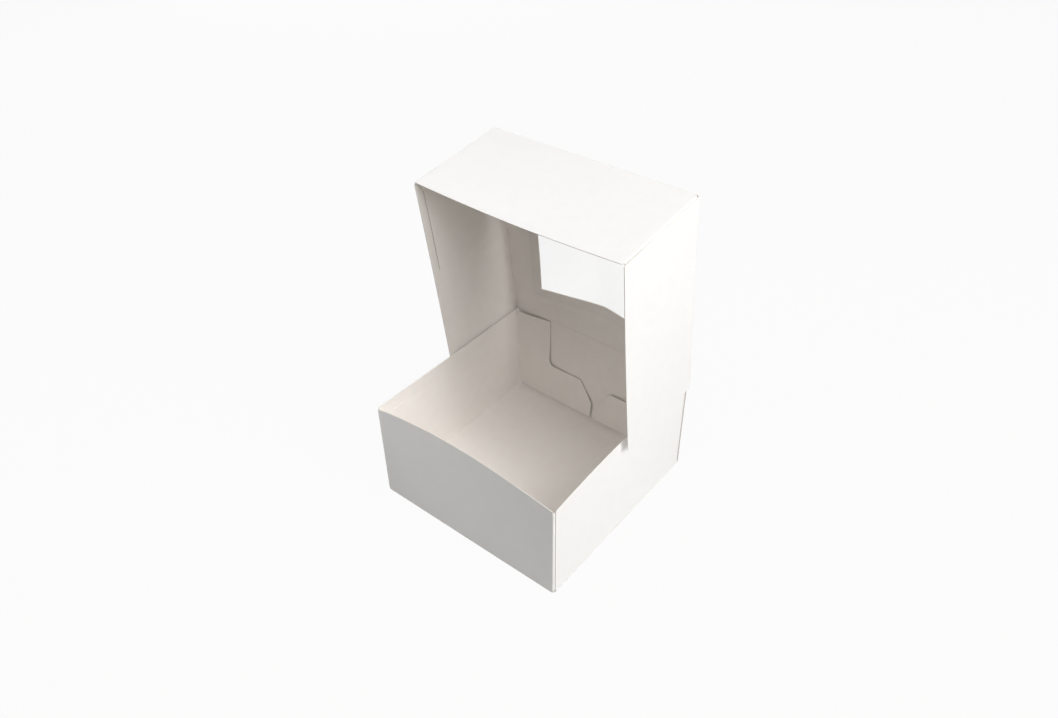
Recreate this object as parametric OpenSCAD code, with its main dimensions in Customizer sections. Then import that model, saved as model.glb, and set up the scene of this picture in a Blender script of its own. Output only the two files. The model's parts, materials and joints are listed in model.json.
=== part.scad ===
// Windowed bakery box: a folded card tray with a card lid that hinges along the back,
// and clear film behind the window in the lid. The lid is drawn standing open.
// Units are millimetres. X runs across the front, Y runs from the front to the hinge, and Z is up.
// The origin is the middle of the tray's underside.

/* [Tray] */
// Width across the front, outside
tray_w = 153; // [130:1:260]
// Depth from the front to the hinge, outside
tray_d = 154; // [130:1:260]
// Height of the tray, outside
tray_h = 78; // [60:1:130]

/* [Card] */
// Thickness of the card
card = 0.5; // [0.4:0.05:0.8]
// Outer radius of every fold
fold_r = 1; // [0.9:0.05:1.6]
// How far a cut edge stops short of the folded corner beside it
edge_set = 2; // [1:0.25:4]
// Height of a corner flap's lower edge above the panel that it stands on
flap_foot = 2; // [1.6:0.1:4]

/* [Bows] */
// How far the tray's front rim bows in
front_bow = 5.7; // [0:0.1:10]
// Where that bow is deepest: 1 is the middle, and less moves it to the left
front_bow_skew = 0.8; // [0.6:0.05:1]
// How far the tray's right rim bows in
right_bow = 2.7; // [0:0.1:6]
// How far the tray's left rim bows in
left_bow = 0.3; // [0:0.1:6]
// How far the free edge of the lid's front wall bows in
lid_front_bow = 2.5; // [0:0.1:3]
// How far the free edges of the lid's side walls bow in
lid_side_bow = 0.5; // [0:0.1:1]

/* [Tray front corner flaps] */
// Reach back along the side wall
front_flap_l = 60; // [30:1:100]
// Length of the slope at the top of the flap, beside the corner
front_flap_slope_l = 12; // [6:1:20]
// How far the flap's top edge lies under the rim
front_flap_drop = 10; // [4:0.5:20]

/* [Tray rear corner flaps] */
// Width of the part that reaches up to the rim
rear_flap_top_w = 32; // [15:1:45]
// Height of the level shoulder
shoulder_h = 35.5; // [24:0.5:46]
// Height of the tip
tip_h = 17; // [6:0.5:20]
// How far the slope between the shoulder and the tip runs across
tip_slope_w = 11.5; // [4:0.5:16]
// Radius of the inner corner above the shoulder
notch_r = 5; // [2:0.5:8]
// Gap between the two tips at the middle of the back wall
tip_gap = 6; // [2:0.5:16]
// How far the lower corner is set back from the tip
tip_undercut = 1.5; // [0:0.5:4]

/* [Lid] */
// How far the lid stands open, in degrees from shut
lid_open = 83; // [0:1:180]
// Clearance between the tray's sides and the flaps inside the lid
side_clear = 1.2; // [1.1:0.1:3]
// Clearance between the tray's front and the lid's front wall
front_clear = 3.2; // [3.1:0.1:8]
// Gap between the tray's rim and the lid when shut
seat = 0.3; // [0.2:0.05:0.6]
// Gap between the back wall and the end of the lid's panel when the lid lies straight out behind
hinge_gap = 0.3; // [0.2:0.05:0.6]
// Gap between the table and the lid's walls when shut
table_clear = 1.2; // [0.6:0.1:6]
// How far the hinge end of a lid side wall is cut back at its free edge
hinge_taper = 3; // [0:0.5:10]

/* [Lid corner flaps] */
// Longest reach back along the lid's side wall, at the flap's free edge
lid_flap_l = 72; // [45:1:90]
// Reach at the flap's waist
lid_flap_waist_l = 59; // [40:1:70]
// Reach at the flap's root
lid_flap_root_l = 62; // [40:1:75]
// Height of the waist above the lid's panel
lid_flap_waist_h = 49; // [34:1:54]
// Height of the top of the root above the lid's panel
lid_flap_root_h = 21; // [10:1:30]
// How far the flap's free edge lies inside the lid's free edge
lid_flap_set = 5.5; // [2:0.5:6]

/* [Window] */
// Card left between the window and the lid's side folds
window_side = 27; // [15:1:45]
// Card left between the window and the hinge
window_hinge = 29; // [15:1:45]
// Card left between the window and the lid's front fold
window_front = 29; // [15:1:45]
// Corner radius of the window
window_r = 1.5; // [0.5:0.5:10]
// How far the strip between hinge and window bulges out at its middle
strip_bulge = 8.5; // [0:0.5:12]
// Thickness of the film
film = 0.1; // [0.05:0.05:0.3]
// How far the film laps on to the card round the window
film_lap = 8; // [4:1:12]
// Glue line between the film and the card
glue_line = 0.1; // [0.05:0.05:0.3]

/* [Hidden] */
$fn = 48;

// Number of flat facets along a bowed edge
bow_steps = 24;
// Number of facets across the film in its height
film_steps = 8;

lid_inner_w = tray_w + 2 * (side_clear + card);
lid_w = lid_inner_w + 2 * card;
lid_l = tray_d + front_clear;
lid_depth = tray_h + seat + card - table_clear;
window_w = lid_w - 2 * (fold_r + window_side);
window_l = lid_l - window_hinge - window_front;
// The creases of the bulging strip start this far inside the lid's side folds
crease_set = 1.5;
// Where the film is glued to the strip, both have these rows, so that they bend alike
lap_rows = steps(window_hinge - film_lap, window_hinge, 2);
rear_flap_l = tray_w / 2 - tip_gap / 2;
// The hinge line lies over the back wall's inner face, level with the underside of the shut lid.
// The back wall reaches up to it, and the lid's panel starts a card's thickness past it.
hinge_y = tray_d / 2 - card;
hinge_z = tray_h + seat;
panel_start = card + hinge_gap;
// A flap glued to a bowed wall starts half-way into it, so that the two are one solid
glued_depth = card / 2;
glued_thick = 2 * card - glued_depth;

// A wall that bows is listed as [length, height, bow, skew]
tray_front_wall = [tray_w, tray_h, front_bow, front_bow_skew];
tray_right_wall = [tray_d, tray_h, right_bow, 1];
tray_left_wall = [tray_d, tray_h, left_bow, 1];
lid_front_wall = [lid_w, lid_depth, lid_front_bow, 1];
lid_side_wall = [lid_l, lid_depth, lid_side_bow, 1];
function wall_length(wall) = wall[0];
function wall_height(wall) = wall[1];
function wall_bow(wall) = wall[2];
function wall_skew(wall) = wall[3];

function steps(from, to, count) = [for (i = [0:count]) from + (to - from) * i / count];
function flat(lists) = [for (list = lists) each list];

// How far a wall stands in, at a place along its fold and a height above it.
// It is straight at the fold, and bows most at the free edge.
function bow_in(wall, along, height) =
    wall_bow(wall) * sin(180 * pow(along / wall_length(wall), wall_skew(wall)))
    * (height - fold_r) / (wall_height(wall) - fold_r);

// How far the lid's panel stands out, at a place across it and a distance from the hinge.
// Two creases run from the hinge's ends to the window's lower corners, and the strip between
// them bulges. The film carries the bulge on, and is flat again at the window's far edge.
function crease_x(from_hinge) =
    let (start = lid_w / 2 - fold_r - crease_set)
    start + (window_w / 2 - start) * (from_hinge - panel_start) / (window_hinge - panel_start);
function strip_out(x, from_hinge) =
    abs(x) >= crease_x(from_hinge) ? 0
    : strip_bulge * cos(90 * x / crease_x(from_hinge))
      * (from_hinge - panel_start) / (window_hinge - panel_start);
function film_out(x, from_hinge) =
    from_hinge <= window_hinge ? strip_out(x, from_hinge)
    : abs(x) >= window_w / 2 ? 0
    : strip_bulge * cos(180 * x / window_w)
      * pow(max(0, 1 - (from_hinge - window_hinge) / window_l), 2);

// Columns of [across, from the hinge] places on a sheet that reaches half to each side.
// It bulges between the creases, and beyond the window's near edge they run straight on.
function bulge_column(share, places) = [for (s = places) [share * crease_x(min(s, window_hinge)), s]];
function bulge_columns(half, places) = concat(
    [[for (s = places) [half, s]]],
    [for (share = steps(1, -1, bow_steps)) bulge_column(share, places)],
    [[for (s = places) [-half, s]]]
);

// A thin closed solid between two faces, each a grid of points in columns.
// Seen from outside the outer face, the columns run from left to right and their points upwards.
module sheet(outer, inner) {
    columns = len(outer);
    rows = len(outer[0]);
    behind = columns * rows;
    function id(i, j) = i * rows + j;
    rim = concat(
        [for (j = [0:rows - 2]) id(0, j)],
        [for (i = [0:columns - 2]) id(i, rows - 1)],
        [for (j = [rows - 1:-1:1]) id(columns - 1, j)],
        [for (i = [columns - 1:-1:1]) id(i, 0)]
    );
    front = [for (i = [0:columns - 2], j = [0:rows - 2]) each [
        [id(i, j), id(i, j + 1), id(i + 1, j + 1)],
        [id(i, j), id(i + 1, j + 1), id(i + 1, j)]
    ]];
    back = [for (face = front) [face[2] + behind, face[1] + behind, face[0] + behind]];
    edges = [for (k = [0:len(rim) - 1]) let (a = rim[k], b = rim[(k + 1) % len(rim)]) each [
        [b, a, a + behind],
        [b, a + behind, b + behind]
    ]];
    polyhedron(points = concat(flat(outer), flat(inner)), faces = concat(front, back, edges), convexity = 4);
}

// A sheet that follows a wall. Each column is a list of [along the fold, height] places, and the
// depth is counted inwards from the wall's outer face.
module wall_sheet(wall, columns, depth = 0, thick = card) {
    function place(at, y) = [at[0], y + bow_in(wall, at[0], at[1]), at[1]];
    function face(y) = [for (column = columns) [for (at = column) place(at, y)]];
    sheet(face(depth), face(depth + thick));
}

// A wall between two places along its fold
module wall(wall, from, to) {
    wall_sheet(wall, [for (a = steps(from, to, bow_steps)) [[a, fold_r], [a, wall_height(wall)]]]);
}

// A quarter round of card along X, from the panel up to the wall in front of it
module foot_fold(from, to) {
    translate([from, fold_r, fold_r]) rotate([90, 0, 90]) rotate([0, 0, 180])
        rotate_extrude(angle = 90) translate([fold_r - card, 0]) square([card, to - from]);
}

// A quarter round of card that stands at a corner. Its outer side faces -X and -Y.
module corner_fold(bottom, top) {
    translate([fold_r, fold_r, bottom]) rotate([0, 0, 180])
        rotate_extrude(angle = 90) translate([fold_r - card, 0]) square([card, top - bottom]);
}

// The tray's front wall, from the fold at its foot to the bowed rim
module tray_front() {
    reach = card + fold_r;
    translate([-tray_w / 2, -tray_d / 2, 0]) {
        foot_fold(reach, tray_w - reach);
        wall(tray_front_wall, reach, tray_w - reach);
    }
}

// The right side wall, with the flap from the front wall glued inside it
module tray_side(side_wall) {
    top = wall_height(side_wall);
    flap_top = [
        [fold_r, top - fold_r],
        [front_flap_slope_l, top - front_flap_drop],
        [front_flap_l, top - front_flap_drop]
    ];
    level = [for (a = steps(front_flap_slope_l, front_flap_l, 8)) if (a > front_flap_slope_l) a];
    flap_places = concat(steps(fold_r, front_flap_slope_l, 3), level);
    translate([tray_w / 2, -tray_d / 2, 0]) {
        rotate([0, 0, 90]) {
            foot_fold(edge_set, tray_d - card - fold_r);
            wall(side_wall, edge_set, tray_d - card - fold_r);
            wall_sheet(side_wall, [for (a = flap_places) [[a, flap_foot], [a, lookup(a, flap_top)]]],
                       glued_depth, glued_thick);
        }
        translate([-card, 0, 0]) mirror([1, 0, 0]) corner_fold(flap_foot, top - fold_r);
    }
}

// The flap that folds from the right side wall across the inside of the back wall
module rear_flap() {
    shoulder_l = rear_flap_l - tip_slope_w;
    inside = tray_d / 2 - card;
    translate([tray_w / 2, inside, 0]) mirror([1, 0, 0]) {
        rotate([90, 0, 0]) linear_extrude(card) difference() {
            polygon([
                [fold_r, flap_foot],
                [rear_flap_l - tip_undercut, flap_foot],
                [rear_flap_l, tip_h],
                [shoulder_l, shoulder_h],
                [rear_flap_top_w + notch_r, shoulder_h],
                [rear_flap_top_w, shoulder_h + notch_r],
                [rear_flap_top_w, tray_h],
                [fold_r, tray_h]
            ]);
            translate([rear_flap_top_w + notch_r, shoulder_h + notch_r]) circle(notch_r);
        }
        mirror([0, 1, 0]) corner_fold(flap_foot, tray_h);
    }
}

// The back wall and the fold at its foot
module tray_back() {
    translate([tray_w / 2, tray_d / 2, 0]) rotate([0, 0, 180]) {
        foot_fold(fold_r, tray_w - fold_r);
        translate([0, 0, fold_r]) cube([tray_w, card, hinge_z - fold_r]);
    }
}

module tray() {
    color("whitesmoke") {
        translate([fold_r - tray_w / 2, fold_r - tray_d / 2, 0])
            cube([tray_w - 2 * fold_r, tray_d - 2 * fold_r, card]);
        tray_front();
        tray_side(tray_right_wall);
        mirror([1, 0, 0]) tray_side(tray_left_wall);
        tray_back();
        rear_flap();
        mirror([1, 0, 0]) rear_flap();
    }
}

// The lid is built lying on its outer face: Y runs from the hinge line and Z into the lid.
// It turns about the line on its panel's inner face, so that it carries on from the back wall.
module hang_lid() {
    translate([0, hinge_y, hinge_z]) rotate([180 - lid_open, 0, 0])
        translate([0, 0, -card]) children();
}

// The flat frame round the window, and the fold along its far end
module lid_frame() {
    half = lid_w / 2 - fold_r;
    difference() {
        translate([-half, window_hinge, 0]) cube([2 * half, lid_l - fold_r - window_hinge, card]);
        translate([0, window_hinge, -card]) linear_extrude(3 * card) window_outline();
    }
}

// The window's outline. Its far corners are round, and at the hinge side it runs on to the strip.
module window_outline() {
    straight = window_w / 2 - window_r;
    translate([-window_w / 2, -card]) square([window_w, window_l - window_r + card]);
    translate([-straight, 0]) square([2 * straight, window_l]);
    for (side = [-1, 1]) translate([side * straight, window_l - window_r]) circle(window_r);
}

// The strip between the hinge and the window, creased at both ends and bulging at its middle
module hinge_strip() {
    columns = bulge_columns(lid_w / 2 - fold_r, concat([panel_start], lap_rows));
    function place(at, z) = [at[0], at[1], z - strip_out(at[0], at[1])];
    function face(z) = [for (column = columns) [for (at = column) place(at, z)]];
    sheet(face(0), face(card));
}

module lid_front() {
    reach = card + fold_r;
    translate([lid_w / 2, lid_l, 0]) rotate([0, 0, 180]) {
        foot_fold(reach, lid_w - reach);
        wall(lid_front_wall, reach, lid_w - reach);
    }
}

// The right side wall, with the flap from the lid's front wall glued inside it
module lid_side() {
    top = lid_depth - lid_flap_set;
    flap_reach = [
        [flap_foot, lid_flap_root_l],
        [lid_flap_root_h, lid_flap_root_l],
        [lid_flap_waist_h, lid_flap_waist_l],
        [top, lid_flap_l]
    ];
    flap_heights = [flap_foot, lid_flap_root_h, lid_flap_waist_h, top];
    function hinge_end(height) = panel_start + hinge_taper * height / lid_depth;
    last = lid_l - edge_set;
    wall_columns = [for (f = steps(0, 1, bow_steps)) [for (h = [fold_r, lid_depth]) [
        hinge_end(h) + f * (last - hinge_end(h)), h]]];
    flap_columns = [for (f = steps(1, 0, 12)) [for (h = flap_heights) [
        lid_l - fold_r - f * (lookup(h, flap_reach) - fold_r), h]]];
    translate([lid_w / 2, 0, 0]) {
        rotate([0, 0, 90]) {
            foot_fold(hinge_end(fold_r), last);
            wall_sheet(lid_side_wall, wall_columns);
            wall_sheet(lid_side_wall, flap_columns, glued_depth, glued_thick);
        }
        translate([-card, lid_l, 0]) mirror([1, 0, 0]) mirror([0, 1, 0]) corner_fold(flap_foot, top);
    }
}

module lid() {
    color("whitesmoke") hang_lid() {
        lid_frame();
        hinge_strip();
        lid_front();
        lid_side();
        mirror([1, 0, 0]) lid_side();
    }
}

// Clear film, glued to the inside of the frame and the strip
module window_film() {
    half = max(window_w / 2 + film_lap, crease_x(lap_rows[0]) + glue_line);
    rows = steps(window_hinge, window_hinge + window_l + film_lap, film_steps);
    columns = bulge_columns(half, concat(lap_rows, [for (s = rows) if (s > window_hinge) s]));
    function place(at, z) = [at[0], at[1], z - film_out(at[0], at[1])];
    function face(z) = [for (column = columns) [for (at = column) place(at, z)]];
    inside = card + glue_line;
    color("aliceblue", 0.3) hang_lid() sheet(face(inside), face(inside + film));
}

tray();
lid();
window_film();
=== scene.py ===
# %% [markdown]
# # A windowed bakery box
#
# The real object is one sheet of white card. A machine stamps its outline and its creases, and then it
# is folded up and glued at its corners. A rectangle of clear film is glued behind the window in the lid.
#
# This lesson makes it the same way: each half of the sheet is drawn flat, cut into small cells so that it
# can bend, folded along its creases, bowed a little, and only then given its thickness. Folding real
# geometry gives round folds, true flaps and honest gaps, which no bump map can.
#
# The solid model of the box is loaded first. It says how large everything is and where it stands, and the
# new pieces take their sizes from it.

# %% Load the solid model
import json
import math

import bmesh
import bpy
from mathutils import Matrix, Vector


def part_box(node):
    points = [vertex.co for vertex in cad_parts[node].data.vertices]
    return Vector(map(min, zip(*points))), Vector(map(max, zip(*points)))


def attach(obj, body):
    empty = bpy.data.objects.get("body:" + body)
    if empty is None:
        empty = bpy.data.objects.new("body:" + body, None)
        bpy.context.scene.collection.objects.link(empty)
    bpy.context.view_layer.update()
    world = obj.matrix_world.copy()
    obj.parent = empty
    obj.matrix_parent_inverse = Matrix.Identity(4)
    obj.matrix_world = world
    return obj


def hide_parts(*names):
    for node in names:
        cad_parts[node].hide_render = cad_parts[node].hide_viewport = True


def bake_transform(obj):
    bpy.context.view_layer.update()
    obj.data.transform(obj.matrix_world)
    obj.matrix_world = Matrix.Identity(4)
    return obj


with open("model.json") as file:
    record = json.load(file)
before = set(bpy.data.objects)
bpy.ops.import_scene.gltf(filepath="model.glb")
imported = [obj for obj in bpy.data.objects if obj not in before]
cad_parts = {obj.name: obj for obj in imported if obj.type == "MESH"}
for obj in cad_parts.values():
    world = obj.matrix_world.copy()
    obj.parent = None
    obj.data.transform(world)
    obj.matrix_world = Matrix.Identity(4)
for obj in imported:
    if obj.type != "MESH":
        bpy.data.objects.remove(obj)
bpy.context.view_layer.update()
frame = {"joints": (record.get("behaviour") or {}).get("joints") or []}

# %% [markdown]
# ## Sizes
#
# A box maker's drawing is in millimetres, so the sheet is laid out in millimetres too, and each finished
# piece is turned to metres at the end. The large sizes are read from the solid model, so that the new
# pieces fit it. The small ones, such as how far a flap reaches, are named here.

# %% Sizes of the tray
MM = 0.001
tray_low, tray_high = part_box("tray")
hinge_y, hinge_z = [place / MM for place in frame["joints"][0]["pos_m"][1:]]
tray_w = (tray_high.x - tray_low.x) / MM
tray_d = (tray_high.y - tray_low.y) / MM
card = tray_d / 2 - hinge_y
seat = 0.3
tray_h = hinge_z - seat
fold_r = 1.0
edge_set = 2.0
flap_foot = 2.0
print(f"tray {tray_w:.1f} x {tray_d:.1f} x {tray_h:.1f} mm, card {card:.2f} mm")

# %% Sizes of the lid
lid_low, lid_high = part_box("lid")
lid_w = (lid_high.x - lid_low.x) / MM
front_clear = 3.2
table_clear = 1.2
lid_l = tray_d + front_clear
lid_depth = tray_h + seat + card - table_clear
lid_open = math.radians(83)
panel_start = card + 0.3
print(f"lid {lid_w:.1f} x {lid_l:.1f} x {lid_depth:.1f} mm")

# %% [markdown]
# ## How a fold takes up card
#
# A fold isn't a sharp corner: the card runs round a quarter of a circle. That quarter is shorter than the
# two straight bits that it replaces, so a flat sheet is a little smaller than the sum of its sides. The
# difference is worked out once, and then any place on a folded wall can be found on the flat sheet.

# %% Folds
FOLD_STEPS = 4
half_turn = math.radians(45) / FOLD_STEPS
fold_chord = 2 * fold_r * math.sin(half_turn)
fold_reach = FOLD_STEPS * fold_chord
saving = 2 * fold_r - fold_reach


def past(corner, distance):
    """Where a place on a wall lies on the flat sheet, for a fold that starts fold_r before the corner."""
    return corner + distance - saving


print(f"a fold of radius {fold_r} mm takes {fold_reach:.3f} mm of card and saves {saving:.3f} mm")

# %% [markdown]
# ## The outline of a blank
#
# The flat, unfolded sheet is called a blank. Both halves of it are the same left and right, so only the
# right half is drawn, as one face with a corner at each point. A vertex bevel rounds the corners that are
# round on the real die, and a mirror makes the left half. The face could be triangles from the start, but
# one large face is easier to cut cleanly later.


# %% Draw half a blank and mirror it
def half_blank(points, rounds):
    """A bmesh with the right half of a blank. rounds gives a radius for some of the points."""
    bm = bmesh.new()
    corners = [bm.verts.new((x, y, 0)) for x, y in points]
    bm.faces.new(corners)
    for index, radius in rounds.items():
        bmesh.ops.bevel(bm, geom=[corners[index]], affect="VERTICES", offset=radius, offset_type="OFFSET",
                        segments=8, profile=0.5, material=-1)
    return bm


def whole_blank(points, rounds):
    """The half blank and its mirror image, joined along the middle and facing down."""
    bm = half_blank(points, rounds)
    bmesh.ops.mirror(bm, geom=bm.verts[:] + bm.edges[:] + bm.faces[:], axis="X", merge_dist=0.001)
    bmesh.ops.recalc_face_normals(bm, faces=bm.faces[:])
    if bm.faces[:][0].normal.z > 0:
        bmesh.ops.reverse_faces(bm, faces=bm.faces[:])
    return bm


# %% [markdown]
# ## Cells
#
# A large flat face can't bend. `bisect_plane` cuts the blank along straight lines, as a knife on a ruler
# would, and the cells between the lines are what bends. The lines lie close together at the creases,
# where the card turns quickly, and about 4 mm apart everywhere else. Every line runs right across the
# sheet, so each cell meets its neighbours corner to corner and no crack can open between them.

# %% Cut a blank into cells
CELL = 4.0
CREASE_GUARD = 0.8


def crease_lines(start, sign=1):
    """The lines along which one fold turns, and a line close to each side that keeps the panels flat."""
    turns = [start + sign * fold_chord * step for step in range(FOLD_STEPS + 1)]
    return [start - sign * CREASE_GUARD] + turns + [turns[-1] + sign * CREASE_GUARD]


def fill_lines(low, high, fixed):
    """The fixed lines, and evenly spaced ones wherever two of them are far apart."""
    stops = sorted({round(place, 4) for place in fixed if low < place < high} | {low, high})
    lines = []
    for first, last in zip(stops, stops[1:]):
        count = max(1, round((last - first) / CELL))
        lines += [first + (last - first) * step / count for step in range(count)]
    return lines[1:]


def cut_faces(bm, faces, point, normal):
    """Cuts these faces where they cross a plane."""
    geom = set(faces)
    for face in faces:
        geom.update(face.edges)
        geom.update(face.verts)
    if geom:
        bmesh.ops.bisect_plane(bm, geom=list(geom), dist=0.0005, plane_co=point, plane_no=normal)


def cut_across(bm, axis, places):
    """Cuts the blank along lines at these places, with axis 0 for lines of equal X and 1 for equal Y."""
    normal = Vector((1, 0, 0)) if axis == 0 else Vector((0, 1, 0))
    for place in places:
        near = [face for face in bm.faces
                if min(v.co[axis] for v in face.verts) < place < max(v.co[axis] for v in face.verts)]
        cut_faces(bm, near, normal * place, normal)


# %% [markdown]
# ## Folding
#
# Each fold is a few small turns, one at each line of its crease. The outermost line turns first, while
# everything before it still lies flat, so every turn is about a line in the flat sheet and its axis is
# easy to state. The flat place of every vertex is kept in an attribute called `flat`. It says which panel
# a vertex belongs to however far it has moved, and later the card's grain follows it round the folds.


# %% Remember the flat places, and fold
SLACK = 0.01


def remember_flat(bm):
    """Keeps each vertex's place on the flat sheet, and returns the layer that holds it."""
    layer = bm.verts.layers.float_vector.new("flat")
    for vert in bm.verts:
        vert[layer] = vert.co
    return layer


def fold(bm, layer, panel, axis, start, sign):
    """Folds a panel up by a quarter turn. The fold starts at start, and the panel lies towards sign."""
    turn = half_turn * (-sign if axis == 0 else sign)
    for step in range(FOLD_STEPS, -1, -1):
        line = start + sign * fold_chord * step
        beyond = [v for v in panel if sign * v[layer][axis] > sign * line + 0.001]
        share = 1 if step in (0, FOLD_STEPS) else 2
        centre = Vector((0, 0, 0))
        centre[axis] = line
        bmesh.ops.rotate(bm, verts=beyond, cent=centre, matrix=Matrix.Rotation(share * turn, 3, "YX"[axis]))


# %% [markdown]
# ## Bows
#
# The free edges of a folded box aren't straight. Where nothing holds a wall, it bows in, most at its
# middle and at its free edge, and not at all at its foot. One formula gives every wall's bow.


# %% The bow of a wall
def bow_in(length, height, depth, skew, along, above):
    """How far a wall stands in, at a place along its fold and a height above it."""
    share = min(max(along / length, 0), 1)
    rise = max(above - fold_r, 0) / (height - fold_r)
    return depth * math.sin(math.pi * share ** skew) * rise


def ramp(value, low, high):
    """0 below low, 1 above high, and a soft S between them."""
    share = min(max((value - low) / (high - low), 0), 1)
    return share * share * (3 - 2 * share)


# %% [markdown]
# ## From blank to piece
#
# The sheet so far is only the outer face of the card. `solidify` gives it the thickness inwards. The inside
# gets the second material and the cut edges the third, because card is bare inside and fibrous where it is
# cut. The faces round a fold are shaded smooth. A UV map in millimetres stays on the mesh.


# %% Give the sheet its thickness and make it an object
def add_uv(bm, layer):
    """A UV map with the flat sheet's own places, in millimetres."""
    uv = bm.loops.layers.uv.new("sheet")
    for face in bm.faces:
        for loop in face.loops:
            loop[uv].uv = loop.vert[layer].xy


def make_piece(name, bm, layer, thickness, materials):
    """The finished object, in metres, with its wall grown inwards from the sheet."""
    add_uv(bm, layer)
    bmesh.ops.scale(bm, vec=(MM, MM, MM), verts=bm.verts[:])
    mesh = bpy.data.meshes.new(name)
    bm.to_mesh(mesh)
    bm.free()
    for material in materials:
        mesh.materials.append(material)
    for polygon in mesh.polygons:
        polygon.use_smooth = True
    piece = bpy.data.objects.new(name, mesh)
    bpy.context.scene.collection.objects.link(piece)
    wall = piece.modifiers.new("card thickness", "SOLIDIFY")
    wall.thickness = thickness * MM
    wall.offset = -1
    wall.use_even_offset = True
    wall.thickness_clamp = 0
    if len(materials) > 1:
        wall.material_offset = 1
        wall.material_offset_rim = 2
    bpy.context.view_layer.objects.active = piece
    bpy.ops.object.modifier_apply(modifier=wall.name)
    mark_sharp_edges(piece.data)
    print(f"{name}: {len(piece.data.polygons)} faces")
    return piece


def mark_sharp_edges(mesh, limit=math.radians(50)):
    """Smooth shading stops at edges that are sharper than the limit, such as where the card is cut."""
    bm = bmesh.new()
    bm.from_mesh(mesh)
    for edge in bm.edges:
        edge.smooth = len(edge.link_faces) == 2 and edge.calc_face_angle(0) < limit
    bm.to_mesh(mesh)
    bm.free()


# %% [markdown]
# ## The tray's blank
#
# The tray's half of the sheet is a floor with a wall on each side. The front wall carries two corner
# flaps, which are glued inside the side walls. The side walls carry two larger flaps, which lie inside the
# back wall and all but meet at its middle. Their top dips by 2 mm beside the corner, where the photo shows
# a dark gap. The points go round the right half, from the middle of the front rim to the middle of the
# back wall.

# %% Where the tray's creases are
front_crease = tray_d / 2 - fold_r
back_crease = tray_d / 2 - fold_r
side_crease = tray_w / 2 - fold_r
front_flap_crease = side_crease - card
rear_flap_crease = back_crease - card
flap_corner_x = tray_w / 2 - card
flap_corner_y = tray_d / 2 - card
band_below = 3.0
back_top = past(tray_d / 2, hinge_z - band_below)


def on_front(height):
    """The flat Y of a height on the front wall, which lies towards -Y."""
    return -past(tray_d / 2, height)


# %% Sizes of the tray's flaps
front_flap_l = 60.0
front_flap_slope_l = 12.0
front_flap_top = tray_h - 10.0
rear_flap_l = tray_w / 2 - 3.0
rear_flap_foot_l = rear_flap_l - 1.5
rear_flap_top_w = 32.0
rear_dip_at = 4.0
rear_dip = 2.2
shoulder_h = 35.5
tip_h = 17.0
tip_slope_w = 11.5
notch_r = 5.0

# %% The tray's outline
tray_points = [
    (0, on_front(tray_h)),
    (front_flap_crease, on_front(tray_h)),
    (front_flap_crease, on_front(tray_h - fold_r)),
    (past(flap_corner_x, fold_r), on_front(tray_h - fold_r)),
    (past(flap_corner_x, front_flap_slope_l), on_front(front_flap_top)),
    (past(flap_corner_x, front_flap_l), on_front(front_flap_top)),
    (past(flap_corner_x, front_flap_l), on_front(flap_foot)),
    (front_flap_crease, on_front(flap_foot)),
    (front_flap_crease, -front_crease),
    (side_crease, -front_crease),
    (side_crease, edge_set - tray_d / 2),
    (past(tray_w / 2, tray_h), edge_set - tray_d / 2),
    (past(tray_w / 2, tray_h), rear_flap_crease + fold_reach),
    (past(tray_w / 2, tray_h - rear_dip), past(flap_corner_y, rear_dip_at)),
    (past(tray_w / 2, tray_h), past(flap_corner_y, rear_flap_top_w)),
    (past(tray_w / 2, shoulder_h), past(flap_corner_y, rear_flap_top_w)),
    (past(tray_w / 2, shoulder_h), past(flap_corner_y, rear_flap_l - tip_slope_w)),
    (past(tray_w / 2, tip_h), past(flap_corner_y, rear_flap_l)),
    (past(tray_w / 2, flap_foot), past(flap_corner_y, rear_flap_foot_l)),
    (past(tray_w / 2, flap_foot), rear_flap_crease),
    (side_crease, rear_flap_crease),
    (side_crease, back_crease),
    (side_crease, back_crease + fold_reach),
    (tray_w / 2, back_crease + fold_reach),
    (tray_w / 2, back_top),
    (0, back_top),
]
NOTCH = 15
tray_blank = whole_blank(tray_points, {NOTCH: notch_r})
print(f"tray blank: {len(tray_points)} points on half of it")

# %% Cut the tray's blank into cells and remember its flat places
tray_fixed_x = [0, past(flap_corner_x, front_flap_slope_l), past(tray_w / 2, shoulder_h)]
tray_fixed_x += crease_lines(front_flap_crease) + crease_lines(side_crease)
tray_fixed_y = crease_lines(back_crease) + crease_lines(rear_flap_crease) + crease_lines(-front_crease, -1)
tray_fixed_y += [past(flap_corner_y, rear_flap_top_w), past(flap_corner_y, rear_dip_at)]
tray_fixed_y += [on_front(tray_h - fold_r)]
tray_reach_x = past(tray_w / 2, tray_h)
tray_reach_y = past(flap_corner_y, rear_flap_l)
half_lines = fill_lines(0, tray_reach_x, tray_fixed_x)
cut_across(tray_blank, 0, half_lines + [-place for place in half_lines])
cut_across(tray_blank, 1, fill_lines(on_front(tray_h), tray_reach_y, tray_fixed_y))
tray_flat = remember_flat(tray_blank)
print(f"tray blank: {len(tray_blank.faces)} cells")

# %% [markdown]
# ## Fold the tray
#
# The flaps fold first, while the walls still lie flat, and then the walls come up. A test on the flat
# places picks each panel.


# %% Which panel a flat place is on
back_wall_half = tray_w / 2 + 0.5


def on_back_wall(flat):
    return flat.y > back_crease + SLACK and abs(flat.x) < back_wall_half


def on_rear_flap(flat):
    return flat.y > rear_flap_crease + SLACK and abs(flat.x) > back_wall_half


def on_front_wall(flat):
    return flat.y < -front_crease - SLACK


# %% Fold it
def picked(bm, layer, test):
    """The vertices whose flat places pass a test."""
    return [v for v in bm.verts if test(v[layer])]


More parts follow.
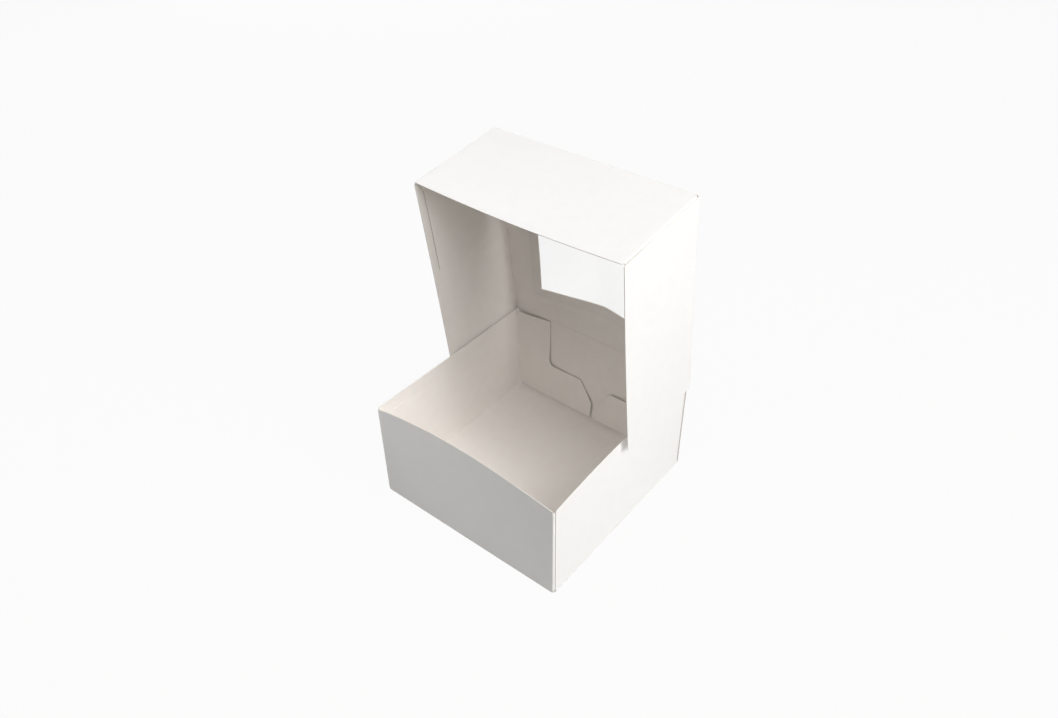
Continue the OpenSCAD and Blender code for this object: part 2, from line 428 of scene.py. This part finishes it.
for side in (1, -1):
    front = picked(tray_blank, tray_flat, on_front_wall)
    fold(tray_blank, tray_flat, front, 0, side * front_flap_crease, side)
    walls = picked(tray_blank, tray_flat, lambda flat: not on_front_wall(flat) and not on_back_wall(flat))
    flaps = [v for v in walls if on_rear_flap(v[tray_flat]) and side * v[tray_flat].x > 0]
    fold(tray_blank, tray_flat, flaps, 1, rear_flap_crease, 1)
    fold(tray_blank, tray_flat, walls, 0, side * side_crease, side)
fold(tray_blank, tray_flat, picked(tray_blank, tray_flat, on_front_wall), 1, -front_crease, -1)
fold(tray_blank, tray_flat, picked(tray_blank, tray_flat, on_back_wall), 1, back_crease, 1)

# %% [markdown]
# ## Bow the tray's walls and lift its rear flaps
#
# The front rim bows in most, a little left of its middle, and the right rim less. The left wall is nearly
# straight. The rear flaps don't lie flat on the back wall: they stand off it by up to 3 mm at the left
# corner, and by a little at their notch and their tip, which is why a dark line runs round their edge. The
# right flap also stands off along the slope near its tip. Lifts and spreads are in millimetres.

# %% Bows and lifts of the tray
front_bow = 5.7
front_bow_skew = 0.8
side_bows = {1: 2.7, -1: 0.3}
CONTACT = 0.08
flap_gap = 0.25
lift_foot = 4.0
left_lift = 2.8
right_lift = 0.5
right_lift_l = 40.0
notch_lift = 0.9
notch_spread = 11.0
tip_lift = 0.8
tip_lift_h = 12.0
tip_spread = 10.0
slope_lift = 1.4
slope_lift_l = rear_flap_l - 12.0
slope_lift_h = shoulder_h - 5.0
slope_spread = 11.0
side_pull_l = 30.0


# %% One lift for the rear flaps, and the bows of the walls
def hump(along, above, at_along, at_above, width):
    """A smooth round hump that is 1 at its place and fades over about twice its width."""
    return math.exp(-((along - at_along) ** 2 + (above - at_above) ** 2) / (2 * width * width))


def rear_lift(side, along, above):
    """How far a rear flap stands off the back wall, at a distance from the corner and a height."""
    if side < 0:
        corner = left_lift * above / tray_h * max(0, 1 - along / rear_flap_top_w)
        slope = 0
    else:
        corner = right_lift * (1 - ramp(along, 0, right_lift_l))
        slope = slope_lift * hump(along, above, slope_lift_l, slope_lift_h, slope_spread)
    notch = notch_lift * hump(along, above, rear_flap_top_w + 2, shoulder_h + 3, notch_spread)
    tip = tip_lift * hump(along, above, rear_flap_l, tip_lift_h, tip_spread)
    return (flap_gap + corner + notch + tip + slope) * ramp(above, 0, lift_foot)


def bow_tray(bm, layer):
    """Bows the walls and lifts the flaps of the folded tray."""
    for vert in bm.verts:
        flat = vert[layer]
        side = 1 if flat.x > 0 else -1
        if on_front_wall(flat):
            vert.co.y += bow_in(tray_w, tray_h, front_bow, front_bow_skew, vert.co.x + tray_w / 2, vert.co.z)
            if abs(flat.x) > front_flap_crease:
                vert.co.x -= side * CONTACT
        if abs(flat.x) > front_flap_crease and not on_back_wall(flat):
            along = vert.co.y + tray_d / 2
            vert.co.x -= side * bow_in(tray_d, tray_h, side_bows[side], 1, along, vert.co.z)
        if on_rear_flap(flat):
            vert.co.y -= rear_lift(side, tray_w / 2 - abs(vert.co.x), vert.co.z)
        elif abs(flat.x) > side_crease + SLACK and not on_front_wall(flat) and not on_back_wall(flat):
            share = ramp(vert.co.y, tray_d / 2 - side_pull_l, rear_flap_crease)
            vert.co.y -= rear_lift(side, 0, vert.co.z) * share


bow_tray(tray_blank, tray_flat)

# %% [markdown]
# ## The lid's blank
#
# The lid's half of the sheet has the panel with the window, a front wall with two corner flaps, and two
# side walls. It is drawn lying on its outer face, with the hinge line along X and the far end towards +Y.
# The window is a bay in the half outline, so the mirror closes it to a hole. The folds of the side walls
# reach a little below the hinge line, outside the tray, and close the corners when the lid stands open.

# %% Sizes of the window and the lid's flaps
band_above = 1.5
hinge_taper = 3.0
wall_below = 3.5
lid_flap_l = 72.0
lid_flap_waist_l = 59.0
lid_flap_root_l = 62.0
lid_flap_waist_h = 49.0
lid_flap_root_h = 21.0
lid_flap_top = lid_depth - 5.5
lid_flap_slope_l = 10.0
lid_flap_step = 1.8
lid_corner_r = 1.6
window_near = 29.0
window_far = lid_l - 29.0
window_half = lid_w / 2 - fold_r - 27.0
window_r = 1.5

lid_side_crease = lid_w / 2 - fold_r
lid_front_crease = lid_l - fold_r
lid_flap_crease = lid_side_crease - card


def on_lid_side(height):
    return past(lid_w / 2, height)


def on_lid_front(height):
    return past(lid_l, height)


def on_lid_flap(reach):
    return past(lid_w / 2 - card, reach)


# %% The lid's outline
lid_points = [
    (0, band_above),
    (lid_side_crease, band_above),
    (lid_side_crease, -wall_below),
    (on_lid_side(lid_depth), panel_start + hinge_taper),
    (on_lid_side(lid_depth), lid_front_crease),
    (lid_side_crease, lid_front_crease),
    (lid_flap_crease, lid_front_crease),
    (lid_flap_crease, on_lid_front(flap_foot)),
    (on_lid_flap(lid_flap_root_l), on_lid_front(flap_foot)),
    (on_lid_flap(lid_flap_root_l), on_lid_front(lid_flap_root_h)),
    (on_lid_flap(lid_flap_waist_l), on_lid_front(lid_flap_waist_h)),
    (on_lid_flap(lid_flap_l), on_lid_front(lid_flap_top)),
    (on_lid_flap(lid_flap_slope_l), on_lid_front(lid_flap_top)),
    (on_lid_flap(fold_r), on_lid_front(lid_depth - lid_flap_step)),
    (lid_flap_crease, on_lid_front(lid_depth - lid_flap_step)),
    (lid_flap_crease, on_lid_front(lid_depth)),
    (0, on_lid_front(lid_depth)),
    (0, window_far),
    (window_half, window_far),
    (window_half, window_near),
    (0, window_near),
]
SIDE_CORNER = 4
LID_CORNER = 15
WINDOW_CORNER = 18
lid_rounds = {SIDE_CORNER: lid_corner_r, LID_CORNER: lid_corner_r, WINDOW_CORNER: window_r}
lid_blank = whole_blank(lid_points, lid_rounds)

# %% [markdown]
# ## The bulging strip
#
# Between the hinge and the window is a narrow strip. Two creases run across it, from the ends of the hinge
# to the window's lower corners, and between them it has popped outwards into a shallow tent with a soft
# ridge. The film is glued to it and carries the bulge on, and is flat again at the window's far edge. The
# strips beside the window lean out a little too, most at their middle. The card and the film are cut along
# the same lines and moved by the same formula, so they stay in touch.

# %% Cut the lid's blank, and cut along the two slanting creases
ridge_r = 4.0
crease_start = lid_side_crease - 1.5
ridge_lines = [0, 2, 4, 7]
lid_fixed_x = ridge_lines + [window_half] + crease_lines(lid_flap_crease) + crease_lines(lid_side_crease)
lid_fixed_y = [window_near, window_far] + crease_lines(lid_front_crease)
lid_half_x = fill_lines(0, on_lid_side(lid_depth), lid_fixed_x)
lid_lines_x = [0] + lid_half_x + [-place for place in lid_half_x]
lid_lines_y = [0, band_above] + fill_lines(band_above, on_lid_front(lid_depth), lid_fixed_y)


def cut_lid_sheet(bm):
    """Cuts a sheet on the lid's panel into the lid's cells, and along the strip's slanting creases."""
    cut_across(bm, 0, lid_lines_x)
    cut_across(bm, 1, lid_lines_y)
    for side in (1, -1):
        crease = Vector((side * (window_half - crease_start), window_near - band_above, 0))
        strip = [f for f in bm.faces if f.calc_center_median().y < window_near
                 and side * f.calc_center_median().x > 0]
        cut_faces(bm, strip, Vector((side * window_half, window_near, 0)), crease.cross(Vector((0, 0, 1))))


cut_lid_sheet(lid_blank)
lid_flat = remember_flat(lid_blank)
print(f"lid blank: {len(lid_blank.faces)} cells")

# %% The bulge
strip_bulge = 8.5
side_bulge = 2.0


def bulge_half(from_hinge):
    """How far the bulge reaches to each side, at a distance from the hinge."""
    share = min((from_hinge - band_above) / (window_near - band_above), 1)
    return crease_start + (window_half - crease_start) * share


def pillow(x, from_hinge):
    """How far the strips beside the window lean out. The film between them leans out with them."""
    share = min(max((from_hinge - window_near) / (window_far - window_near), 0), 1)
    across = min(max((lid_side_crease - abs(x)) / (lid_side_crease - window_half), 0), 1)
    return side_bulge * math.sin(math.pi * share) * across


def bulge_out(x, from_hinge):
    """How far the strip or the film stands out of the panel's plane."""
    half = bulge_half(from_hinge)
    if abs(x) >= half:
        return pillow(x, from_hinge)
    tent = 1 - (math.hypot(x, ridge_r) - ridge_r) / (math.hypot(half, ridge_r) - ridge_r)
    if from_hinge <= window_near:
        return strip_bulge * tent * (from_hinge - band_above) / (window_near - band_above)
    fade = max(0, 1 - (from_hinge - window_near) / (window_far - window_near))
    return strip_bulge * tent * fade ** 2 + pillow(x, from_hinge)


# %% Push the strip out, then fold the lid
for vert in lid_blank.verts:
    if abs(vert.co.x) > window_half - SLACK and vert.co.y < lid_front_crease:
        vert.co.z -= bulge_out(vert.co.x, vert.co.y)
    elif vert.co.y < window_near + SLACK:
        vert.co.z -= bulge_out(vert.co.x, min(vert.co.y, window_near))


def on_lid_front_wall(flat):
    return flat.y > lid_front_crease + SLACK


for side in (1, -1):
    front = picked(lid_blank, lid_flat, on_lid_front_wall)
    fold(lid_blank, lid_flat, front, 0, side * lid_flap_crease, side)
    rest = picked(lid_blank, lid_flat, lambda flat: not on_lid_front_wall(flat))
    fold(lid_blank, lid_flat, rest, 0, side * lid_side_crease, side)
fold(lid_blank, lid_flat, picked(lid_blank, lid_flat, on_lid_front_wall), 1, lid_front_crease, 1)

# %% Bow the lid's walls and loosen its flaps
lid_front_bow = 2.5
lid_side_bow = 0.5
flap_stand_off = 0.4
stand_off_from = 45.0
stand_off_to = 72.0


def bow_lid(bm, layer):
    """Bows the lid's walls. The flaps stand a little off the side walls at their free edges."""
    for vert in bm.verts:
        flat = vert[layer]
        side = 1 if flat.x > 0 else -1
        above = vert.co.z
        if on_lid_front_wall(flat):
            vert.co.y -= bow_in(lid_w, lid_depth, lid_front_bow, 1, vert.co.x + lid_w / 2, above)
            if abs(flat.x) > lid_flap_crease:
                vert.co.x -= side * (CONTACT + flap_stand_off * ramp(above, stand_off_from, stand_off_to))
        if abs(flat.x) > lid_flap_crease:
            vert.co.x -= side * bow_in(lid_l, lid_depth, lid_side_bow, 1, vert.co.y, above)


bow_lid(lid_blank, lid_flat)

# %% [markdown]
# ## Hang the lid
#
# The lid was drawn on its back. One transform turns it about the hinge line and puts it where the solid
# model has it, standing open and leaning a little forward.

# %% Hang
lean = math.radians(90) - lid_open
hang = (Matrix.Translation((0, hinge_y, hinge_z)) @ Matrix.Rotation(math.pi - lid_open, 4, "X")
        @ Matrix.Translation((0, 0, -card)))
bmesh.ops.transform(lid_blank, matrix=hang, verts=lid_blank.verts[:])

# %% [markdown]
# ## The hinge crease
#
# On the real box the tray's back wall runs on into the lid's panel over one last crease. Here the two
# halves move apart from each other, so a narrow band of card joins them. It meets the tray at its lower
# edge and the lid at its upper edge, and is bent between them once, by the lid's lean as it stands here.

# %% The band
lean_steps = 6
BAND_GUARD = 1.1
BAND_CELLS = 18
band = bmesh.new()
band_top = band_above + card * math.tan(lean)
band_corners = [(-1, -band_below), (1, -band_below), (1, band_top), (-1, band_top)]
band.faces.new([band.verts.new((side * lid_side_crease, y, 0)) for side, y in band_corners])
bmesh.ops.recalc_face_normals(band, faces=band.faces[:])
if band.faces[:][0].normal.z > 0:
    bmesh.ops.reverse_faces(band, faces=band.faces[:])
lean_lines = [-0.5 + step / (lean_steps - 1) for step in range(lean_steps)]
cut_across(band, 1, lean_lines + [-BAND_GUARD, BAND_GUARD])
cut_across(band, 0, [CELL * step for step in range(-BAND_CELLS, BAND_CELLS + 1)])
band_flat = remember_flat(band)
for line in reversed(lean_lines):
    beyond = [v for v in band.verts if v[band_flat].y > line + 0.001]
    bmesh.ops.rotate(band, verts=beyond, cent=(0, line, 0), matrix=Matrix.Rotation(lean / lean_steps, 3, "X"))
stand = Matrix.Translation((0, tray_d / 2, hinge_z)) @ Matrix.Rotation(math.radians(90), 4, "X")
bmesh.ops.transform(band, matrix=stand, verts=band.verts[:])

# %% [markdown]
# ## The film
#
# The window is closed by a thin clear film, glued to the inside of the card. It laps 8 mm on to the card
# all round. It starts as one rectangle and is cut along the lid's own lines.

# %% The film
film = 0.1
film_lap = 8.0
glue_line = 0.1
film_sheet = bmesh.new()
film_half = window_half + film_lap
film_ends = (window_near - film_lap, window_far + film_lap)
film_corners = [(-film_half, film_ends[0]), (-film_half, film_ends[1]),
                (film_half, film_ends[1]), (film_half, film_ends[0])]
film_sheet.faces.new([film_sheet.verts.new((x, y, 0)) for x, y in film_corners])
cut_lid_sheet(film_sheet)
film_flat = remember_flat(film_sheet)
for vert in film_sheet.verts:
    vert.co.z = card + glue_line - bulge_out(vert.co.x, vert.co.y)
bmesh.ops.transform(film_sheet, matrix=hang, verts=film_sheet.verts[:])

# %% [markdown]
# ## Helpers for materials
#
# Colours are written as sRGB hex values, as a designer would, and one function turns them into the linear
# values that a shader works in. One more function adds a node with its settings, values and links.


# %% Colour and node helpers
def colour(code):
    """An sRGB hex colour as linear RGBA."""
    parts = [int(code[start:start + 2], 16) / 255 for start in (1, 3, 5)]
    return [part / 12.92 if part <= 0.04045 else ((part + 0.055) / 1.055) ** 2.4 for part in parts] + [1]


def new_material(name):
    """An empty node material, and its tree."""
    material = bpy.data.materials.new(name)
    material.use_nodes = True
    material.node_tree.nodes.clear()
    return material, material.node_tree


def add_node(tree, kind, settings=None, values=None, links=None):
    """Adds a node. links gives each input the node and the output that feed it."""
    node = tree.nodes.new(kind)
    for name, value in (settings or {}).items():
        setattr(node, name, value)
    for name, value in (values or {}).items():
        node.inputs[name].default_value = value
    for name, (source, output) in (links or {}).items():
        tree.links.new(source.outputs[output], node.inputs[name])
    return node


# %% [markdown]
# ## White carton board
#
# The box is of solid bleached board: white paper pulp right through, with a thin coat of white clay on the
# outside. The coat makes the outside smooth, with a faint soft sheen. The inside is bare pulp: a little
# warmer and quite matt, with a fine tooth of fibres that lie along the length of the paper machine.
#
# The patterns are measured on the flat sheet, in millimetres, by the UV map that was laid before folding.
# So the fibres run the same way over a whole sheet and turn with it at each fold. Three patterns are laid
# over each other: clouds of slightly denser pulp about 9 mm across, the tooth of the fibres, and the very
# shallow waves, a few centimetres long, that any thin board has once it has been handled. Real fibres are
# about 0.02 mm wide, which no camera would see at this distance, so the tooth is drawn about 20 times
# coarser.


# %% Board
def sheet_noise(tree, across, along, detail):
    """A noise on the flat sheet whose patches have this size in millimetres."""
    place = add_node(tree, "ShaderNodeUVMap", {"uv_map": "sheet"})
    sized = add_node(tree, "ShaderNodeMapping", values={"Scale": (1 / across, 1 / along, 1)},
                     links={"Vector": (place, "UV")})
    return add_node(tree, "ShaderNodeTexNoise", {"noise_dimensions": "2D"},
                    {"Scale": 1, "Detail": detail, "Roughness": 0.55}, {"Vector": (sized, "Vector")})


def board_material(name, dense, thin, roughness, tooth_height, sheen):
    """Carton board: its two nearly equal whites, its roughness and the height of its tooth."""
    material, tree = new_material(name)
    clouds = sheet_noise(tree, 9, 9, 2)
    tint = add_node(tree, "ShaderNodeMix", {"data_type": "RGBA"}, {6: colour(dense), 7: colour(thin)},
                    {"Factor": (clouds, "Fac")})
    tooth = sheet_noise(tree, 0.4, 1.2, 3)
    waves = sheet_noise(tree, 34, 46, 1)
    rough = add_node(tree, "ShaderNodeMapRange",
                     values={"To Min": roughness - 0.06, "To Max": roughness + 0.06},
                     links={"Value": (tooth, "Fac")})
    waved = add_node(tree, "ShaderNodeBump", values={"Strength": 1, "Distance": 0.35 * MM},
                     links={"Height": (waves, "Fac")})
    toothed = add_node(tree, "ShaderNodeBump", values={"Strength": 1, "Distance": tooth_height * MM},
                       links={"Height": (tooth, "Fac"), "Normal": (waved, "Normal")})
    board = add_node(tree, "ShaderNodeBsdfPrincipled", values={"IOR": 1.5, "Specular IOR Level": sheen},
                     links={"Base Color": (tint, 2), "Roughness": (rough, "Result"),
                            "Normal": (toothed, "Normal")})
    add_node(tree, "ShaderNodeOutputMaterial", links={"Surface": (board, "BSDF")})
    return material


coated_board = board_material("clay_coated_board_outside", "#F7F6F5", "#FAFAF9", 0.5, 0.004, 0.4)
bare_board = board_material("bare_bleached_board_inside", "#F7F2ED", "#FAF7F3", 0.85, 0.012, 0.2)

# %% [markdown]
# ## The cut edge
#
# Where the die has cut the board, the layers of pulp show as a rough, fibrous white that is a little
# greyer than the faces. Object coordinates serve here, since the flat sheet's map has no width across the
# thickness. The tufts of fibre are about a quarter of a millimetre across.


# %% Cut edge
def cut_edge_material():
    """The torn-looking fibrous edge of die-cut board."""
    material, tree = new_material("cut_board_edge")
    place = add_node(tree, "ShaderNodeTexCoord")
    sized = add_node(tree, "ShaderNodeMapping", values={"Scale": (1 / MM, 1 / MM, 1 / MM)},
                     links={"Vector": (place, "Object")})
    fibres = add_node(tree, "ShaderNodeTexNoise", values={"Scale": 4, "Detail": 3},
                      links={"Vector": (sized, "Vector")})
    tint = add_node(tree, "ShaderNodeMix", {"data_type": "RGBA"},
                    {6: colour("#E6E1D8"), 7: colour("#F2EFE9")}, {"Factor": (fibres, "Fac")})
    rough = add_node(tree, "ShaderNodeBump", values={"Strength": 1, "Distance": 0.03 * MM},
                     links={"Height": (fibres, "Fac")})
    edge = add_node(tree, "ShaderNodeBsdfPrincipled", values={"Roughness": 0.95, "Specular IOR Level": 0.2},
                    links={"Base Color": (tint, 2), "Normal": (rough, "Normal")})
    add_node(tree, "ShaderNodeOutputMaterial", links={"Surface": (edge, "BSDF")})
    return material


cut_edge = cut_edge_material()
board_faces = [coated_board, bare_board, cut_edge]

# %% [markdown]
# ## Clear film
#
# The window is oriented polypropylene film, stretched thin when it was made. It is as good as invisible
# straight on, and shows only by a soft reflection at a slant. It doesn't bend light, because its two faces
# are parallel and a tenth of a millimetre apart, so it is mixed from a transparent shader and a glossy
# one, with more gloss at a slant, and light falls through it freely. Layer Weight's Facing gives the
# slant. The Fresnel node isn't used, because it takes a ray inside the film to be inside thick glass and
# turns the back face into a mirror. A very shallow ripple keeps the reflections from being those of glass.


# %% Film
def film_material():
    """Thin clear film."""
    material, tree = new_material("clear_polypropylene_film")
    ripple = sheet_noise(tree, 22, 30, 1)
    bumped = add_node(tree, "ShaderNodeBump", values={"Strength": 1, "Distance": 0.15 * MM},
                      links={"Height": (ripple, "Fac")})
    clear = add_node(tree, "ShaderNodeBsdfTransparent", values={"Color": colour("#FEFEFE")})
    gloss = add_node(tree, "ShaderNodeBsdfGlossy", values={"Color": colour("#FFFFFF"), "Roughness": 0.05},
                     links={"Normal": (bumped, "Normal")})
    facing = add_node(tree, "ShaderNodeLayerWeight", values={"Blend": 0.5},
                      links={"Normal": (bumped, "Normal")})
    slant = add_node(tree, "ShaderNodeMath", {"operation": "POWER"}, {1: 5.0}, {0: (facing, "Facing")})
    shine = add_node(tree, "ShaderNodeMapRange", values={"To Min": 0.04, "To Max": 0.6},
                     links={"Value": (slant, 0)})
    mixed = add_node(tree, "ShaderNodeMixShader",
                     links={0: (shine, "Result"), 1: (clear, "BSDF"), 2: (gloss, "BSDF")})
    add_node(tree, "ShaderNodeOutputMaterial", links={"Surface": (mixed, "Shader")})
    return material


clear_film = film_material()

# %% [markdown]
# ## The four pieces
#
# Each sheet gets its thickness and its finishes and becomes an object in metres. The tray, the lid and
# the film each hide the part of the solid model that they stand in for and ride on a moving body; the
# hinge band is set in place and rides on none.

# %% Make the pieces
tray = make_piece("tray_board", tray_blank, tray_flat, card, board_faces)
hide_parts("tray")
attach(tray, "tray")

lid = make_piece("lid_board", lid_blank, lid_flat, card, board_faces)
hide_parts("lid")
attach(lid, "lid")

window = make_piece("window_film_clear", film_sheet, film_flat, film, [clear_film])
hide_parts("window_film")
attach(window, "lid")

hinge_band = make_piece("hinge_crease", band, band_flat, card, board_faces)
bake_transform(hinge_band)

# %% [markdown]
# ## Floor and light
#
# The photo shows the box on plain white. The floor is white, and to the camera it is mostly its own light,
# so it stays white and keeps only a soft trace of the shadow. The world is white to the camera and to
# reflections, and a faint white to everything else, which fills the shadows.
#
# Three soft lights stand to the right of the box, two high and one low, so its right faces and its top are
# nearly white and its front, which they only graze, is grey. A small one hangs over the front and reaches
# the tray's floor and back wall. Two weak ones stand on the left and fill the front and the back.


# %% Floor
def floor_material():
    """A white floor that stays white to the camera and takes a soft shadow."""
    material, tree = new_material("white_studio_floor")
    ray = add_node(tree, "ShaderNodeLightPath")
    white = add_node(tree, "ShaderNodeBsdfDiffuse", values={"Color": colour("#B4B2AF")})
    glow = add_node(tree, "ShaderNodeEmission", values={"Color": (1, 1, 1, 1), "Strength": 1})
    seen = add_node(tree, "ShaderNodeMath", {"operation": "MAXIMUM"},
                    links={0: (ray, "Is Camera Ray"), 1: (ray, "Is Glossy Ray")})
    seen = add_node(tree, "ShaderNodeMath", {"operation": "MAXIMUM"},
                    links={0: (seen, 0), 1: (ray, "Is Transmission Ray")})
    share = add_node(tree, "ShaderNodeMath", {"operation": "MULTIPLY"}, {1: 0.95}, {0: (seen, 0)})
    mixed = add_node(tree, "ShaderNodeMixShader",
                     links={0: (share, 0), 1: (white, "BSDF"), 2: (glow, "Emission")})
    add_node(tree, "ShaderNodeOutputMaterial", links={"Surface": (mixed, "Shader")})
    return material


floor_bm = bmesh.new()
bmesh.ops.create_grid(floor_bm, x_segments=1, y_segments=1, size=6)
bmesh.ops.translate(floor_bm, vec=(0, 0, -0.0001), verts=floor_bm.verts[:])
floor_mesh = bpy.data.meshes.new("floor")
floor_bm.to_mesh(floor_mesh)
floor_bm.free()
floor_mesh.materials.append(floor_material())
floor = bpy.data.objects.new("floor", floor_mesh)
bpy.context.scene.collection.objects.link(floor)

# %% World
world = bpy.data.worlds.new("white studio")
bpy.context.scene.world = world
world.use_nodes = True
sky = world.node_tree
sky.nodes.clear()
ray = add_node(sky, "ShaderNodeLightPath")
seen = add_node(sky, "ShaderNodeMath", {"operation": "MAXIMUM"},
                links={0: (ray, "Is Camera Ray"), 1: (ray, "Is Glossy Ray")})
seen = add_node(sky, "ShaderNodeMath", {"operation": "MAXIMUM"},
                links={0: (seen, 0), 1: (ray, "Is Transmission Ray")})
fill = add_node(sky, "ShaderNodeBackground", values={"Color": colour("#FFFFFF"), "Strength": 0.08})
white = add_node(sky, "ShaderNodeBackground", values={"Color": (1, 1, 1, 1), "Strength": 1})
mixed = add_node(sky, "ShaderNodeMixShader",
                 links={0: (seen, 0), 1: (fill, "Background"), 2: (white, "Background")})
add_node(sky, "ShaderNodeOutputWorld", links={"Surface": (mixed, "Shader")})


# %% Lamps
lamp_target = Vector((0, 0, 0.1))


def softbox(name, azimuth, elevation, distance, size, power):
    """A square area lamp, turned to the middle of the box. Azimuth 0 is +X and 90 is behind the box."""
    lamp = bpy.data.lights.new(name, "AREA")
    lamp.shape = "SQUARE"
    lamp.size = size
    lamp.energy = power
    lamp.color = colour("#FFFEFD")[:3]
    holder = bpy.data.objects.new(name, lamp)
    around, above = math.radians(azimuth), math.radians(elevation)
    way = Vector((math.cos(above) * math.cos(around), math.cos(above) * math.sin(around), math.sin(above)))
    holder.location = lamp_target + way * distance
    holder.rotation_euler = way.to_track_quat("Z", "Y").to_euler()
    bpy.context.scene.collection.objects.link(holder)


softbox("key_right_front", -18, 46, 1.5, 1.0, 11.5)
softbox("key_right_back", 8, 38, 1.45, 0.6, 8.0)
softbox("low_right", 0, 20, 1.5, 0.9, 3.4)
softbox("overhead", 262, 76, 0.75, 0.35, 0.75)
softbox("back_left_fill", 140, 8, 1.3, 0.9, 4.5)
softbox("front_left_fill", 222, 35, 0.7, 0.4, 1.0)

# %% [markdown]
# ## The camera
#
# The angles, the lens and the place come from fitting a camera to the corners of the box in the photo. The
# camera stands at the front right and looks down steeply, and leans over by about a degree.

# %% Camera
cam_azimuth = math.radians(39.30)
cam_elevation = math.radians(38.43)
cam_roll = math.radians(-0.93)
cam_place = Vector((295.9, -366.5, 484.4)) * MM
cam_lens = 30.54

level = Vector((math.cos(cam_azimuth), math.sin(cam_azimuth), 0))
outward = Vector((math.sin(cam_azimuth), -math.cos(cam_azimuth), 0))
back = outward * math.cos(cam_elevation) + Vector((0, 0, math.sin(cam_elevation)))
turned = Matrix.Rotation(cam_roll, 3, back)
right = turned @ level
upward = back.cross(right)
camera = bpy.data.objects.new("camera", bpy.data.cameras.new("camera"))
camera.data.sensor_width = 36
camera.data.lens = cam_lens
camera.data.clip_start = 0.01
camera.matrix_world = Matrix((
    (right.x, upward.x, back.x, cam_place.x),
    (right.y, upward.y, back.y, cam_place.y),
    (right.z, upward.z, back.z, cam_place.z),
    (0, 0, 0, 1),
))
bpy.context.scene.collection.objects.link(camera)
bpy.context.scene.camera = camera
bpy.context.scene.view_settings.view_transform = "Standard"
